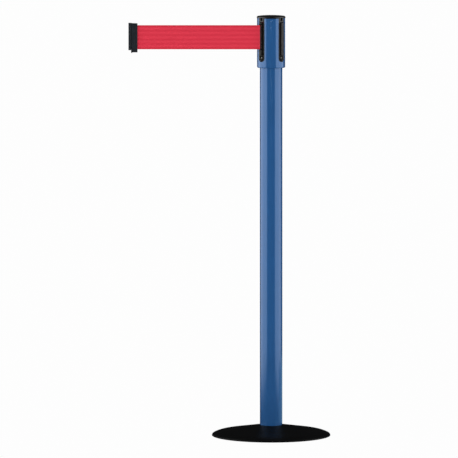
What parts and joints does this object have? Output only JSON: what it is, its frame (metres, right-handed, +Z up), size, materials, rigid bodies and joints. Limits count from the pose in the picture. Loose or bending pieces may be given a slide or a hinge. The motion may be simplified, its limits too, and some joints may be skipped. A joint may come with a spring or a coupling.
{
  "type": "retractable belt stanchion",
  "caption": "Tube post on a low domed weighted base, with a four-way channelled head and a flat retractable webbing belt that ends in a clip.",
  "frame": {"origin": "on the floor, under the post's axis, at the centre of the base's rubber pad", "axes": "+Z up along the post; the belt is pulled out along -X; -Y is the side from which the belt's outer face is seen"},
  "size_m": [0.4564, 0.268, 0.95],
  "materials": {
    "blue_coat": "smooth satin-gloss blue powder coat",
    "black_cover": "black enamelled pressing, semi-gloss",
    "black_plastic": "fine-grained black moulding",
    "clip_plastic": "fine-grained black moulding",
    "rubber": "matt black rubber",
    "iron": "sand-cast, dark primer",
    "zinc_steel": "bright zinc plate",
    "spring_steel": "blued spring strip",
    "acetal": "natural acetal",
    "red_webbing": "ribbed woven polyester webbing",
    "brake_lining": "brown friction material"
  },
  "bodies": {
    "post": {"floor_pad": "rubber", "base_weight": "iron", "base_cover": "black_cover", "base_bolt": "zinc_steel", "lock_washer": "zinc_steel", "flat_washer": "zinc_steel", "post_tube": "blue_coat", "post_plug": "zinc_steel", "head_adapter": "black_plastic", "head_shell": "blue_coat", "channel_liner_front_left": "black_plastic", "channel_liner_front_right": "black_plastic", "channel_liner_back_right": "black_plastic", "channel_liner_back_left": "black_plastic", "liner_screw_front_left": "zinc_steel", "liner_screw_front_right": "zinc_steel", "liner_screw_back_right": "zinc_steel", "liner_screw_back_left": "zinc_steel", "head_cap": "black_plastic", "cassette_base": "black_plastic", "cassette_top": "black_plastic", "cassette_pillar_a": "zinc_steel", "cassette_pillar_b": "zinc_steel", "cassette_pillar_c": "zinc_steel", "cassette_pillar_d": "zinc_steel", "cassette_screw_a": "zinc_steel", "cassette_screw_b": "zinc_steel", "cassette_screw_c": "zinc_steel", "cassette_screw_d": "zinc_steel", "spindle": "zinc_steel", "retaining_ring": "spring_steel", "spring_arbor": "acetal", "power_spring": "spring_steel", "belt_lead": "red_webbing"},
    "belt_end": {"belt_web": "red_webbing", "belt_end_body": "clip_plastic", "belt_end_cover": "clip_plastic", "belt_end_pin": "zinc_steel", "belt_end_screw_lower": "zinc_steel", "belt_end_screw_upper": "zinc_steel"},
    "spool": {"belt_spool": "black_plastic", "spool_top_flange": "black_plastic", "bush_lower": "acetal", "bush_upper": "acetal", "spring_cover": "acetal", "belt_anchor_pin": "zinc_steel", "belt_roll": "red_webbing"},
    "shoe_a": {"brake_shoe_a": "brake_lining"},
    "shoe_b": {"brake_shoe_b": "brake_lining"}
  },
  "joints": [
    {"name": "belt_pull", "type": "slide", "parent": "post", "child": "belt_end", "axis": [-1, 0, 0], "range_m": [-0.2705, 1.78], "deforming": ["belt_web"]},
    {"name": "spool_spin", "type": "hinge", "parent": "post", "child": "spool", "pos_m": [0, 0, 0.9], "axis": [0, 0, 1], "range_deg": [-1000, 6580], "deforming": ["power_spring"]},
    {"name": "shoe_a_swing", "type": "hinge", "parent": "spool", "child": "shoe_a", "pos_m": [0.013, 0, 0.936], "axis": [0, 0, -1], "range_deg": [0, 4.5]},
    {"name": "shoe_b_swing", "type": "hinge", "parent": "spool", "child": "shoe_b", "pos_m": [-0.013, 0, 0.936], "axis": [0, 0, -1], "range_deg": [0, 4.5]}
  ],
  "couplings": [
    {"joint": "spool_spin", "follows": "belt_pull", "rad_per_m": 64.5},
    {"joint": "shoe_b_swing", "follows": "shoe_a_swing", "ratio": 1}
  ]
}
